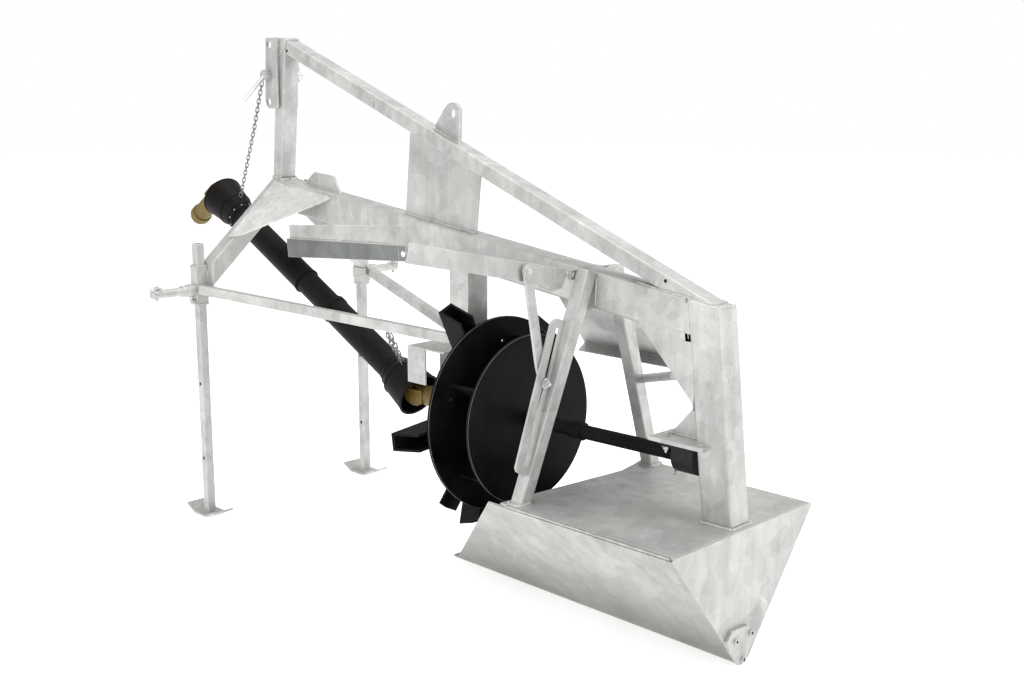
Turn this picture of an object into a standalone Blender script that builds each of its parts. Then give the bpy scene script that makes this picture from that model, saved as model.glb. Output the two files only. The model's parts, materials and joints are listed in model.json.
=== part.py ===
"""Rotary ditcher for a tractor's three-point hitch, parked on its shoe and two stands.

Sizes are in millimetres along X (rearwards, from the lower link pins), Y (to the far side) and Z (up).
CENTRE_X and CENTRE_Y move the model so that its box stands centred on the origin.
"""

import math

import bmesh
import bpy
from mathutils import Matrix, Vector

MM = 0.001
CENTRE_X, CENTRE_Y = 713.1, -63.6
GAP = 0.3

# Frame
BEAM_W, BEAM_D = 80.0, 100.0
BEAM_SLOPE, BEAM_TOP_800 = -0.124, 1050.0
BEAM_FRONT, BEAM_REAR = 60.4, 1899.5
BRACE_SLOPE, BRACE_TOP_300 = -0.3886, 1530.0
TOP_BRACE_W, TOP_BRACE_D = 60.0, 45.0
MAST_TOP, MAST_LEAN = 1618.0, 0.105
COLUMN_LEAN = 0.1239
COLUMN_FRONT_910 = 1799.0
PIN_Y, PIN_Z, PIN_R = 520.0, 785.0, 14.0
STAND_X, STAND_Y, STAND_W, STAND_TOP = 5.0, 343.5, 30.0, 942.0
SLEEVE_W, SLEEVE_LOW, SLEEVE_TOP = 40.0, 735.0, 870.0
TOP_PIN = (5.0, 1496.0)
# Rotor
AXIS_Z0, AXIS_SLOPE = 481.9, 0.014
SHAFT_R, DISC_R, REAR_DISC_R = 20.0, 291.0, 250.0
PADDLES, PADDLE_R, PADDLE_W = 5, 356.0, 54.0
PADDLE_FIRST = -6.0
KNIFE_TURN = -52.0
# Drive shaft
JOINT = (718.0, 492.0)
PTO_TILT, PTO_LENGTH = 27.34, 1258.6
YOKE_DROOP = -33.0
# Shoe
SHOE_FRONT, SHOE_REAR, SHOE_TOP, SHOE_HALF, SOLE_HALF = 929.0, 1976.0, 350.0, 303.0, 23.0
# Wings
HINGE_Y, HINGE_Z, WING_R, WING_REAR = 75.0, 955.0, 520.0, 1438.0
NEAR_TILT, FAR_TILT, NEAR_R = 11.5, -39.0, 582.0
STRAP_A, SLOT_BOLT = (-252.4, 980.9), (-193.9, 677.0)
SLOT_TOP, SLOT_LOW = (-145.0, 820.0), (-266.8, 464.0)

PARTS = None
CUTTERS = None
COLOURS = {
    "zinc": (0.62, 0.64, 0.65, 1), "black": (0.03, 0.03, 0.03, 1),
    "yellow": (0.85, 0.6, 0.02, 1), "plastic": (0.05, 0.05, 0.055, 1),
    "steel": (0.5, 0.5, 0.52, 1), "green": (0.04, 0.07, 0.06, 1),
}


def at(x, y, z):
    return Vector(((x - CENTRE_X) * MM, (y - CENTRE_Y) * MM, z * MM))


def beam_top(x):
    return BEAM_TOP_800 + BEAM_SLOPE * (x - 800)


def beam_low(x):
    return beam_top(x) - BEAM_D * math.hypot(1, BEAM_SLOPE)


def brace_top(x):
    return BRACE_TOP_300 + BRACE_SLOPE * (x - 300)


def column_front(z):
    return COLUMN_FRONT_910 + (910 - z) * COLUMN_LEAN


def axis_z(x):
    return AXIS_Z0 + AXIS_SLOPE * x


def new_object(name, bm, finish, hidden=False):
    """Turns a bmesh into an object with its own material."""
    bmesh.ops.recalc_face_normals(bm, faces=bm.faces)
    mesh = bpy.data.meshes.new(name)
    bm.to_mesh(mesh)
    bm.free()
    obj = bpy.data.objects.new(name, mesh)
    if hidden:
        CUTTERS.objects.link(obj)
        obj.hide_render = True
        obj.display_type = "WIRE"
        return obj
    PARTS.objects.link(obj)
    mat = bpy.data.materials.new(name)
    mat.use_nodes = True
    mat.node_tree.nodes["Principled BSDF"].inputs["Base Color"].default_value = COLOURS[finish]
    mesh.materials.append(mat)
    return obj


def bevel(obj, width, segments=2, angle=50):
    mod = obj.modifiers.new("Bevel", "BEVEL")
    mod.width = width * MM
    mod.segments = segments
    mod.limit_method = "ANGLE"
    mod.angle_limit = math.radians(angle)
    return obj


def boolean(obj, other, operation):
    mod = obj.modifiers.new("Boolean", "BOOLEAN")
    mod.operation = operation
    mod.solver = "EXACT"
    mod.object = other
    return obj


def cut(obj, *others):
    for other in others:
        boolean(obj, other, "DIFFERENCE")
    return obj


def join(obj, *others):
    for other in others:
        boolean(obj, other, "UNION")
    return obj


def solid(name, points, shift, finish="zinc", hidden=False):
    """A flat outline pushed along a vector, all in model millimetres."""
    bm = bmesh.new()
    face = bm.faces.new([bm.verts.new(at(*p)) for p in points])
    out = bmesh.ops.extrude_face_region(bm, geom=[face])
    verts = [v for v in out["geom"] if isinstance(v, bmesh.types.BMVert)]
    bmesh.ops.translate(bm, verts=verts, vec=Vector(shift) * MM)
    return new_object(name, bm, finish, hidden)


def side(name, outline, y0, y1, finish="zinc", hidden=False):
    """An (x, z) outline between two y values."""
    return solid(name, [(x, y0, z) for x, z in outline], (0, y1 - y0, 0), finish, hidden)


def cross(name, outline, x0, x1, finish="zinc", hidden=False):
    """A (y, z) outline between two x values."""
    return solid(name, [(x0, y, z) for y, z in outline], (x1 - x0, 0, 0), finish, hidden)


def box(name, low, high, finish="zinc", hidden=False):
    (x0, y0, z0), (x1, y1, z1) = low, high
    return cross(name, [(y0, z0), (y1, z0), (y1, z1), (y0, z1)], x0, x1, finish, hidden)


def along(start, end, ref=(0, 0, 1)):
    """A frame at start whose Z runs to end and whose X is square to ref."""
    a, b = Vector(start), Vector(end)
    z = (b - a).normalized()
    x = z.cross(Vector(ref))
    x = Vector((0, 1, 0)) if x.length < 1e-6 else x.normalized()
    y = z.cross(x)
    turn = Matrix((x, y, z)).transposed().to_4x4()
    return Matrix.Translation(a) @ turn, (b - a).length


def bar(name, start, end, wide, deep, ref=(0, 0, 1), finish="zinc", hidden=False):
    """A rectangular bar between two points, its wide side square to ref."""
    frame, length = along(start, end, ref)
    w, d = wide / 2, deep / 2
    corners = [frame @ Vector(p) for p in ((-w, -d, 0), (w, -d, 0), (w, d, 0), (-w, d, 0))]
    push = frame.to_3x3() @ Vector((0, 0, length))
    return solid(name, corners, push, finish, hidden)


def lathe(name, start, end, profile, finish="zinc", sides=32, hollow=False, hidden=False):
    """Rings (distance along, radius) about the line from start towards end."""
    frame, _ = along(start, end)
    bm = bmesh.new()
    rings = []
    for s, r in profile:
        turn = [math.tau * k / sides for k in range(sides)]
        rings.append([bm.verts.new(at(*(frame @ Vector((r * math.cos(t), r * math.sin(t), s))))) for t in turn])
    pairs = list(zip(rings, rings[1:]))
    if hollow:
        pairs.append((rings[-1], rings[0]))
    else:
        bm.faces.new(rings[0])
        bm.faces.new(rings[-1])
    for one, two in pairs:
        for k in range(sides):
            m = (k + 1) % sides
            bm.faces.new((one[k], one[m], two[m], two[k]))
    return new_object(name, bm, finish, hidden)


def rod(name, start, end, r, finish="zinc", sides=24, hidden=False):
    length = (Vector(end) - Vector(start)).length
    return lathe(name, start, end, [(0, r), (length, r)], finish, sides, False, hidden)


def hole(name, centre, axis, r, reach=60.0):
    """A drill through centre along axis."""
    c, a = Vector(centre), Vector(axis).normalized() * reach
    return rod("cut_" + name, c - a, c + a, r, sides=20, hidden=True)


def on_axis(x, y=0.0, z=0.0):
    return (x, y, axis_z(x) + z)


def mirrored(points, sign):
    return [(x, sign * y, z) for x, y, z in points]


def frame_parts():
    """Beam, column, mast, top brace and the plates between them."""
    y = BEAM_W / 2
    corner = (column_front(824) + 0.5, beam_low(1810))
    end = (BEAM_REAR, beam_top(BEAM_REAR))
    seam = (1797.0, beam_top(1797.0))
    beam = [(BEAM_FRONT, beam_low(BEAM_FRONT)), (corner[0] - 0.9, corner[1]), (seam[0] - GAP, seam[1]),
            (BEAM_FRONT, beam_top(BEAM_FRONT))]
    main_beam = bevel(side("main_beam", beam, -y, y), 7)
    foot = SHOE_TOP + 6 + GAP
    column = [
        seam, end,
        (column_front(foot) + 94, foot), (column_front(foot), foot),
    ]
    rear_column = bevel(side("rear_column", column, -y, y), 7)
    base = beam_top(0) - 1.2
    top = MAST_TOP
    lean = (top - base) * MAST_LEAN
    mast = [(-3, base), (48, base), (48 + lean, top), (-3 + lean, top)]
    bevel(side("mast", mast, -30, 30), 5)
    x0 = 99.0
    meet_low = (1601.6 - 1149.5) / 0.2646
    meet_top = (1646.6 - 1149.5) / 0.2646
    brace = [
        (x0 - 4.6, brace_top(x0 - 4.6) - TOP_BRACE_D), (meet_low, beam_top(meet_low) + GAP),
        (meet_top, beam_top(meet_top) + GAP), (x0, brace_top(x0)),
    ]
    half = TOP_BRACE_W / 2
    top_brace = bevel(side("top_brace", brace, -half, half), 4)
    cut(top_brace, side("cut_mast", [(-100, base), (48 + GAP, base), (48.4 + lean, top), (-100, top)],
                        -60, 60, hidden=True))

    def under(x):
        return brace_top(x) - TOP_BRACE_D - GAP

    plate = [(684, beam_top(684) + GAP), (1000, beam_top(1000) + GAP), (1020, under(1020)), (711, under(711))]
    side("mid_plate", plate, -9, -1)
    eye = [(824, 1341), (866, 1390), (880, 1402), (896, 1407), (914, 1402), (930, 1387)]
    eye = [(926, brace_top(926) - 5), (824, brace_top(824) - 5)] + eye
    cut(join(top_brace, side("cut_lifting_eye", eye, -6, 6, hidden=True)), hole("eye", (898, 0, 1373), (0, 1, 0), 14))
    head = [(142, beam_top(142) - 4), (349, beam_top(349) - 4), (308, 1164), (202, 1173)]
    join(main_beam, side("cut_head_plate", head, -4, 4, hidden=True))
    for tag, s in (("near", -1), ("far", 1)):
        link = [(-7, 1620), (-20, 1412), (-14, 1392), (2, 1384), (50, 1384), (62, 1620)]
        plate = side("top_link_plate_" + tag, link, s * (30 + GAP), s * 38)
        for k, z in enumerate((1597, TOP_PIN[1], 1406)):
            x = TOP_PIN[0] + (z - TOP_PIN[1]) * 0.06
            cut(plate, hole("link_%s_%d" % (tag, k), (x, s * 34, z), (0, 1, 0), 13.2, 20))
        slope = math.tan(math.radians(42.5))
        rise = 30 / math.cos(math.radians(42.5))
        mid = 1136.4
        yo = STAND_Y - SLEEVE_W / 2 - GAP
        flat = base - GAP
        out = [
            (s * yo, mid - slope * yo - rise), (s * yo, mid - slope * yo + rise),
            (s * (mid + rise - flat) / slope, flat), (s * 0.15, flat), (s * 0.15, mid - rise),
        ]
        bevel(cross("leg_" + tag, out, 0, 60), 5)
        shift = Vector((0.13, -s * 0.9, 1)).normalized()
        up = [Vector(p) + shift * 1.2 for p in mirrored([(60, 245, 952.3), (60, 50, 1131.3), (342, 41.5, 1093)], s)]
        a, b, c = up
        pts = [a + Vector((-18, 0, 2.4)), b + Vector((-18, 0, 2.4)), c, c + (a - c) * 0.08 + Vector((6, 0, 0)),
               a + (c - a) * 0.10 + Vector((4, 0, 0))]
        n = (b - a).cross(c - a).normalized()
        n = n if n.z > 0 else -n
        pts = [p - n * (p - a).dot(n) for p in pts]
        pts[2].y = s * max(abs(pts[2].y), 40 + GAP)
        solid("corner_gusset_" + tag, pts, n * 6)
        gus = [
            (1648, beam_low(1648) - GAP), (1757, 734), (1827, 661), (column_front(640) - 1.5, 640),
            (column_front(641) - 0.6, 641), (corner[0] - 0.7, corner[1] - 0.7),
        ]
        side("rear_gusset_" + tag, gus, s * 32, s * 40)
        start = (31.4, s * 355.7, 790)
        end_at = (914.2, s * 28.4, 700.5)
        bar("stay_" + tag, start, end_at, 25, 30)
        h = STAND_Y
        outer, inner = SLEEVE_W / 2, STAND_W / 2 + 0.6
        sleeve = box("stand_sleeve_" + tag, (STAND_X - outer, s * h - outer, SLEEVE_LOW),
                     (STAND_X + outer, s * h + outer, SLEEVE_TOP))
        bore = box("cut_sleeve_" + tag, (STAND_X - inner, s * h - inner, SLEEVE_LOW - 20),
                   (STAND_X + inner, s * h + inner, SLEEVE_TOP + 20), hidden=True)
        cut(sleeve, bore, rod("cut_lock_" + tag, (STAND_X, s * (h + 8), 748), (STAND_X, s * (h + 40), 748),
                              6.3, hidden=True))
        y0 = h + outer + GAP
        profile = [(0, 22), (389 - y0, 22), (389.5 - y0, 19), (412.5 - y0, 19), (413 - y0, PIN_R),
                   (PIN_Y - 3 - y0, PIN_R), (PIN_Y - y0, PIN_R - 3)]
        pin = lathe("lower_link_pin_" + tag, (0, s * y0, PIN_Z), (0, s * 600, PIN_Z), profile, "steel")
        cut(pin, hole("linch_" + tag, (0, s * 502, PIN_Z), (0, 0, 1), 5.3, 40))
        linch = rod("linch_pin_" + tag, (0, s * 502, PIN_Z - 22), (0, s * 502, PIN_Z + 24), 5.0, "steel")
        join(linch, rod("cut_linch_head_" + tag, (0, s * 502, PIN_Z + PIN_R + 1.5), (0, s * 502, PIN_Z + 26),
                        8.5, "steel", hidden=True))
        stand_parts(tag, s)
    column_low = axis_z(960) + 50.8
    centre = [(920, column_low), (1000, column_low), (1000, beam_low(1000) - GAP), (920, beam_low(920) - GAP)]
    centre_column = side("centre_column", centre, -40, 40)
    guard = [(-70, 548), (-70, 664), (70, 664), (70, 548), (65, 548), (65, 659), (-65, 659), (-65, 548)]
    join(centre_column, cross("cut_joint_guard", guard, 755, 838, hidden=True),
         box("cut_joint_guard_top", (830, -70, 659), (924, 70, 664), hidden=True))
    bracket = box("cut_bearing_bracket", (1710, -68, 548), (1882, 68, 558), hidden=True)
    rib = [(1733, 556), (1838, 674), (1855, 674), (1855, 556)]
    join(rear_column, bracket, side("cut_bracket_rib", rib, -4, 4, hidden=True))
    for name, x0, x1, low, high in (("front_bearing", 925, 995, 448, axis_z(960) + 50.4),
                                    ("rear_bearing", 1752, 1836, 449, 547.6)):
        half = 34 if name == "front_bearing" else 44
        bore = rod("cut_" + name, on_axis(x0 - 30), on_axis(x1 + 30), SHAFT_R + GAP, sides=32, hidden=True)
        if name == "front_bearing":
            join(centre_column, box("cut_block", (x0, -half, low), (x1, half, high + 6), hidden=True))
            cut(centre_column, bore)
        else:
            z = axis_z(1794)
            arch = [(-half, high), (-half, z)]
            arch += [(-half * math.cos(math.radians(a)), z - half * math.sin(math.radians(a))) for a in range(15, 180, 15)]
            arch += [(half, z), (half, high)]
            housing = cross(name, arch, x0 + 14, x1, "green")
            foot_plate = box("cut_bearing_foot", (1718, -38, 531), (x1 - 6, 38, high), hidden=True)
            cut(bevel(join(housing, foot_plate), 2, 2), bore)


def stand_parts(tag, s):
    """Square stand with its bent foot, and its lock pin."""
    y = s * STAND_Y
    h = STAND_W / 2
    foot = [(-80, 22), (-30, 0), (40, 0), (90, 22), (88, 28), (38.7, 6), (-28.7, 6), (-78, 28)]
    stand = bevel(box("stand_" + tag, (STAND_X - h, y - h, 3), (STAND_X + h, y + h, STAND_TOP)), 3)
    join(stand, side("cut_foot_" + tag, foot, y - 40, y + 40, hidden=True))
    w = h - 3
    cut(stand, box("cut_stand_" + tag, (STAND_X - w, y - w, 12), (STAND_X + w, y + w, STAND_TOP + 9), hidden=True))
    for k, z in enumerate((748.0, 462.0, 200.0)):
        cut(stand, hole("stand_%s_%d" % (tag, k), (STAND_X, y, z), (0, 1, 0), 6.3, 40))
    inner = STAND_Y + STAND_W / 2 + 0.9
    outer = STAND_Y + SLEEVE_W / 2
    lathe("stand_pin_" + tag, (STAND_X, s * inner, 748), (STAND_X, s * 600, 748),
          [(0, 6), (outer - inner + 0.5, 6), (outer - inner + 0.6, 9), (outer - inner + 14, 9)], "steel")


def top_pin_parts():
    x, z = TOP_PIN
    pin = rod("top_link_pin", (x, -62, z), (x, 96, z), 12.9, "steel", 32)
    join(pin, lathe("cut_pin_head", (x, -62, z), (x, -30, z), [(0, 17), (14, 17)], hidden=True),
         rod("cut_pin_handle", (x, -58, z - 4), (x, -141, 1409), 6, hidden=True))
    join(pin, rod("cut_pin_clip", (x, 86, z - 21), (x, 86, z + 26), 4, hidden=True))


def brace_parts():
    """Braces, strut, slot plate and the shoe's hull."""
    foot = SHOE_TOP + 6 + GAP
    for tag, s in (("near", -1), ("far", 1)):
        top = Vector((1481.5, s * 54.2, 968))
        low = Vector((1438.5, -272.5, 330)) if s < 0 else Vector((1459.0, 276.0, 330))
        brace = bevel(bar("brace_" + tag, top, low, 40, 40, (1, 0, 0)), 4, 2)
        keep = BEAM_W / 2 + GAP
        cut(brace, box("cut_brace_in_" + tag, (1300, min(s * keep, -s * 300), 700), (1700, max(s * keep, -s * 300), 1100),
                       hidden=True),
            box("cut_brace_low_" + tag, (1300, -500, 200), (1700, 500, foot), hidden=True))
    strut = rod("brace_strut", (1470.5, 171, 632), (1760, 20, 716), 12.5)
    cut(strut, bar("cut_strut_brace", (1481.5, 54.2, 968), (1459, 276, 330), 40.8, 40.8, (1, 0, 0), hidden=True), box("cut_strut", (1500, -60, 600), (1800, 40 + GAP, 800), hidden=True))
    a, b = Vector((0, *SLOT_TOP)), Vector((0, *SLOT_LOW))
    d = (b - a).normalized()
    n = Vector((0, -d.z, d.y))
    n = n if n.y < 0 else -n
    inner = 17.6
    pts = [a - d * 24 - n * inner, a - d * 24 + n * 10, a - d * 17 + n * 24, a - d * 4 + n * 32,
           b + d * 8 + n * 36, b + d * 18 + n * 29, b + d * 22 + n * 14, b + d * 22 - n * inner]
    plate = cross("slot_plate", [(p.y, p.z) for p in pts], 1455, 1461)
    edge = 7.0
    slot = [a - n * edge, a + n * edge, b + n * edge, b - n * edge]
    cut(plate, cross("cut_slot", [(p.y, p.z) for p in slot], 1440, 1480, hidden=True))
    t = 6.0
    n_in = Vector((0, SHOE_TOP, SHOE_HALF - SOLE_HALF)).normalized()
    for tag, s in (("near", -1), ("far", 1)):
        inward = Vector((0, -s * n_in.y, n_in.z)) * t
        lift = 7.0 + GAP
        low_y = SOLE_HALF + 5.6
        top_z = SHOE_TOP - 5.0
        top_y = low_y + (SHOE_HALF - SOLE_HALF) * (top_z - lift) / SHOE_TOP
        fx = SHOE_FRONT + ((1356 if s < 0 else 1404) - SHOE_FRONT) * top_z / SHOE_TOP
        pts = [(SHOE_FRONT + 9, s * low_y, lift), (SHOE_REAR, s * low_y, lift), (SHOE_REAR, s * top_y, top_z),
               (fx, s * top_y, top_z)]
        solid("shoe_side_" + tag, pts, inward)
    sole = [(-SOLE_HALF, 0), (SOLE_HALF, 0), (SOLE_HALF + 5.6, 7), (-SOLE_HALF - 5.6, 7)]
    cross("shoe_sole", sole, SHOE_FRONT - 14, SHOE_REAR)
    deck = [(1396, -296), (SHOE_REAR, -296), (SHOE_REAR, 296), (1404, 296), (1438, 176)]
    solid("shoe_deck", [(x, y, SHOE_TOP) for x, y in deck], (0, 0, 6))
    back = [(-SOLE_HALF, 0.3), (SOLE_HALF, 0.3), (SHOE_HALF, SHOE_TOP), (SHOE_HALF - 8, SHOE_TOP + 6),
            (-SHOE_HALF + 8, SHOE_TOP + 6), (-SHOE_HALF, SHOE_TOP)]
    cross("shoe_rear", back, SHOE_REAR + GAP, SHOE_REAR + 6)
    wear = [(-72, 51), (-84, 80), (-66, 104), (4, 100), (38, 57), (-14, 0.3), (-30, 0.3)]
    x = SHOE_REAR + 6 + GAP
    plate = cross("wear_plate", wear, x, x + 10, "steel")
    for k, (y, z) in enumerate(((-50, 73), (17, 76), (-16, 14))):
        join(plate, rod("cut_wear_%d" % k, (x + 5, y, z), (x + 16, y, z), 8, hidden=True))


def rotor_parts():
    """Shaft, discs and paddles, all on one turning body."""
    far = on_axis(2000)
    start = on_axis(822)
    profile = [(0, SHAFT_R), (567, SHAFT_R), (567.2, 26), (607, 26), (607.2, SHAFT_R), (1010, SHAFT_R), (1012, 18)]
    lathe("rotor_shaft", start, far, profile, "black")
    r0 = SHAFT_R + GAP
    front = lathe("disc_front", on_axis(1020), far, [(0, r0), (0, 46), (75, 46), (75, DISC_R), (83, DISC_R), (83, r0)],
                  "black", 64, True)
    rear = lathe("disc_rear", on_axis(1103.4), far,
                 [(0, r0), (0, 46), (109, 46), (109, REAR_DISC_R), (117, REAR_DISC_R), (117, r0)], "black", 64, True)
    ahead = Vector((1, 0, AXIS_SLOPE)).normalized()
    up = Vector((-AXIS_SLOPE, 0, 1)).normalized()
    t = math.radians(KNIFE_TURN)
    u = Vector((0, -math.cos(t), 0)) + up * math.sin(t)
    v = Vector((0, math.sin(t), 0)) + up * math.cos(t)
    section = [(-16, 0), (-16, -46), (16, -46), (16, -39), (-9, -39), (-9, 0)]
    base = Vector(on_axis(1096.0)) + u * 246
    join(front, solid("cut_knife", [base + v * b + ahead * d for b, d in section], u * 76, hidden=True))
    for k in range(PADDLES):
        h = math.radians(KNIFE_TURN + 72 * k)
        c = Vector(on_axis(1100)) + (Vector((0, -math.cos(h), 0)) + up * math.sin(h)) * 218
        cut(front, hole("disc_%d" % k, c, ahead, 5.5, 30))
    for k in range(PADDLES):
        t = math.radians(PADDLE_FIRST + 36 + 72 * k)
        u = Vector((0, -math.cos(t), 0)) + up * math.sin(t)
        v = Vector((0, math.sin(t), 0)) + up * math.cos(t)
        c = Vector(on_axis(1104.0))
        pts = [c + u * 38 - v * 4, c + u * 38 + v * 4, c + u * 235 + v * 4, c + u * 235 - v * 4]
        join(rear, solid("cut_rib_%d" % k, pts, ahead * 112, hidden=True))
    for k in range(PADDLES):
        t = math.radians(PADDLE_FIRST + 72 * k)
        u = Vector((0, -math.cos(t), 0)) + up * math.sin(t)
        v = Vector((0, math.sin(t), 0)) + up * math.cos(t)
        h, w = PADDLE_W / 2, 7.0
        section = [(-h, 0), (-h, -78), (h, -78), (h, 0), (h - w, 0), (h - w, -78 + w), (-h + w, -78 + w), (-h + w, 0)]
        base = Vector(on_axis(1094.6)) + u * 118
        pts = [base + v * b + ahead * d for b, d in section]
        paddle = solid("paddle_%d" % (k + 1), pts, u * (PADDLE_R - 118), "black")
        reach = PADDLE_R - 118
        wedge = [base - v * 60 + u * a + ahead * d for a, d in ((reach, -78), (reach - 34, 2), (reach + 40, 2), (reach + 40, -84), (reach, -84))]
        cut(paddle, solid("cut_paddle_%d" % (k + 1), wedge, v * 120, hidden=True))


def yoke(name, centre, axis, ears, hub, finish="yellow"):
    """A universal joint's fork. Its arms stand at either side along ears."""
    c, a, e = Vector(centre), Vector(axis).normalized(), Vector(ears).normalized()
    w = a.cross(e)
    body = lathe(name, c + a * 47, c + a * 300, [(0, 30)] + hub, finish)
    for k, s in enumerate((-1, 1)):
        pts = [c + e * s * 26 + a * p + w * q for p, q in
               ((-13, -16), (-20, -6), (-20, 6), (-13, 16), (0, 22), (62, 22), (62, -22), (0, -22))]
        join(body, solid("cut_%s_%d" % (name, k), pts, e * s * 10, hidden=True))
    return body


def drive_parts():
    """Drive shaft, its guards, both universal joints and the tractor's fork."""
    j = Vector((JOINT[0], 0, JOINT[1]))
    t = math.radians(PTO_TILT)
    p = Vector((-math.cos(t), 0, math.sin(t)))
    w = Vector((math.sin(t), 0, math.cos(t)))
    y = Vector((0, 1, 0))
    yoke("rotor_yoke", j, (1, 0, AXIS_SLOPE), y, [(12, 33), (56.5, 33)])
    lower = yoke("drive_yoke_lower", j, p, w, [(12, 33), (56, 33), (57, 27), (640, 27)])
    cut(lower, rod("cut_tube_bore", j + p * 115, j + p * 760, 20.6, hidden=True))
    join(lower, rod("cut_cross_a", j - w * 28, j + w * 28, 10, hidden=True),
         lathe("cut_cross_b", j - y * 25.6, j + y * 25.6,
               [(0, 2.2), (2.2, 6.0), (49, 6.0), (51.2, 2.2)], hidden=True))
    lower_guard = [(-12, 76), (88, 66), (140, 47), (470, 46), (471, 49), (490, 49), (491, 41.5), (756, 41.5),
                   (756, 35.6), (212, 35.6), (211, 27.6), (201, 27.6), (200, 35.6), (143, 35.6), (89, 60), (-10, 71)]
    lathe("guard_lower", j, j + p * 900, lower_guard, "plastic", 40, True)
    upper_guard = [(650, 45), (1070, 45), (1082, 47), (1100, 54), (1140, 63), (1235, 76), (1237, 71), (1142, 58),
                   (1104, 49), (1090, 42), (1089, 20.6), (1078, 20.6), (1077, 42), (650, 42)]
    lathe("guard_upper", j, j + p * 1300, upper_guard, "plastic", 40, True)
    j2 = j + p * PTO_LENGTH
    upper = yoke("drive_yoke_upper", j2, -p, y, [(12, 33), (50, 33), (51, 20), (700, 20)])
    d = math.radians(YOKE_DROOP)
    q = Vector((-math.cos(d), 0, math.sin(d)))
    w2 = Vector((math.sin(-d), 0, math.cos(d)))
    w2 = (Vector((0, 0, 1)) - q * q.z).normalized()
    tractor = yoke("tractor_yoke", j2, q, w2, [(30, 33), (100, 33), (101, 38), (124, 38), (125, 31), (138, 31)])
    cut(tractor, rod("cut_spline", j2 + q * 90, j2 + q * 220, 17.5, hidden=True))
    join(tractor, rod("cut_cross_c", j2 - y * 25.6, j2 + y * 25.6, 10, hidden=True),
         rod("cut_cross_d", j2 - w2 * 28, j2 + w2 * 28, 10, hidden=True))
    top = j + p * 1120 + w * 67 + Vector((0, -6, 0))
    chain("chain_upper", [Vector((-30, -45, 1470)), Vector((-90, -36, 1366)), Vector((-160, -24, 1240)), top])
    low = j + p * 78 + w * 70 + Vector((0, -6, 0))
    chain("chain_lower", [Vector((702, -106, 699)), Vector((690, -80, 672)), Vector((668, -44, 636)), low])


def chain(name, points, r=4.0):
    """A plain tube along a chain's route."""
    curve = bpy.data.curves.new(name, "CURVE")
    curve.dimensions = "3D"
    line = curve.splines.new("POLY")
    line.points.add(len(points) - 1)
    for point, place in zip(line.points, points):
        point.co = (*at(*place), 1)
    curve.bevel_depth = r * MM
    curve.bevel_resolution = 2
    curve.use_fill_caps = True
    obj = bpy.data.objects.new(name, curve)
    PARTS.objects.link(obj)
    mat = bpy.data.materials.new(name)
    mat.use_nodes = True
    curve.materials.append(mat)
    weld = obj.modifiers.new("Weld", "WELD")
    weld.merge_threshold = 0.00005


def loft(name, first, second, finish="zinc", hidden=False):
    """A closed body between two outlines with the same number of points. Every side is split into triangles."""
    bm = bmesh.new()
    one = [bm.verts.new(at(*p)) for p in first]
    two = [bm.verts.new(at(*p)) for p in second]
    bmesh.ops.triangulate(bm, faces=[bm.faces.new(one), bm.faces.new(two)])
    for k in range(len(one)):
        m = (k + 1) % len(one)
        bm.faces.new((one[k], one[m], two[m]))
        bm.faces.new((one[k], two[m], two[k]))
    return new_object(name, bm, finish, hidden)


def wing(tag, s, tilt, front_in, front_out, reach, twist, lip_front, lip_rear):
    """A deflector plate with its knuckle, flanges and outer lip. Its front outer corner hangs down by twist."""
    t = math.radians(tilt)
    u = Vector((0, s * math.cos(t), math.sin(t)))
    v = Vector((0, -s * math.sin(t), math.cos(t)))
    h = Vector((0, s * HINGE_Y, HINGE_Z))
    c = h + v * 3
    x1 = WING_REAR
    drop = v * twist
    ends = []
    for x, fall, out in ((front_in, 0, 0), (x1, 0, 0), (x1, 0, reach), (front_out, 1, reach)):
        ends.append(c + Vector((x, 0, 0)) + u * out - drop * fall)
    bm = bmesh.new()
    low = [bm.verts.new(at(*p)) for p in ends]
    high = [bm.verts.new(at(*(p + v * 6))) for p in ends]
    for ring in (low, high):
        bm.faces.new((ring[0], ring[1], ring[3]))
        bm.faces.new((ring[1], ring[2], ring[3]))
    for k in range(4):
        m = (k + 1) % 4
        bm.faces.new((low[k], low[m], high[m], high[k]))
    sheet = new_object("wing_" + tag, bm, "zinc")
    e = h + v * 8.6 + u * (reach - 2)
    lips = []
    for x, fall, deep in ((front_out + 0.4, 1, lip_front), (x1 - 0.4, 0, lip_rear)):
        o = e - drop * fall + Vector((x, 0, 0))
        lips.append([o, o + u * 6, o + u * (6 - deep * 0.3) - v * deep, o + u * (1 - deep * 0.3) - v * deep, o - v * 3])
    flange = [h + v * 12 + u * 20, h + v * 15 + u * (reach - 3), h + u * (reach - 5) - v * 34, h + u * 120 - v * 38,
              h + u * 60 - v * 52, h + u * 24 - v * 40, h - v * 2 + u * 12]
    join(sheet, rod("cut_knuckle_" + tag, h + Vector((front_in + 1, 0, 0)), h + Vector((x1 - 1, 0, 0)), 10, hidden=True),
         loft("cut_lip_" + tag, lips[0], lips[1], hidden=True),
         solid("cut_flange_" + tag, [p + Vector((x1 - 6.6, 0, 0)) for p in flange], (6, 0, 0), hidden=True))
    if tag == "near":
        cut(sheet, hole("wing_lip", (1424, -645, 1060), (0, 1, 0.2), 6.5, 40))
    cut(sheet, rod("cut_knuckle_bore_" + tag, h + Vector((800, 0, 0)), h + Vector((1500, 0, 0)), 6.3, hidden=True))
    rod_obj = rod("wing_hinge_" + tag, h + Vector((front_in - 24, 0, 0)), h + Vector((x1 + 17, 0, 0)), 6, "steel")
    keep = BEAM_W / 2 + GAP
    for k, x in enumerate((front_in - 20, x1 + 4)):
        y0, y1 = sorted((s * keep, s * (HINGE_Y + 13)))
        join(rod_obj, box("cut_lug_%s_%d" % (tag, k), (x, y0, HINGE_Z - 13), (x + 10, y1, HINGE_Z + 13), hidden=True))
    return sheet


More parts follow.
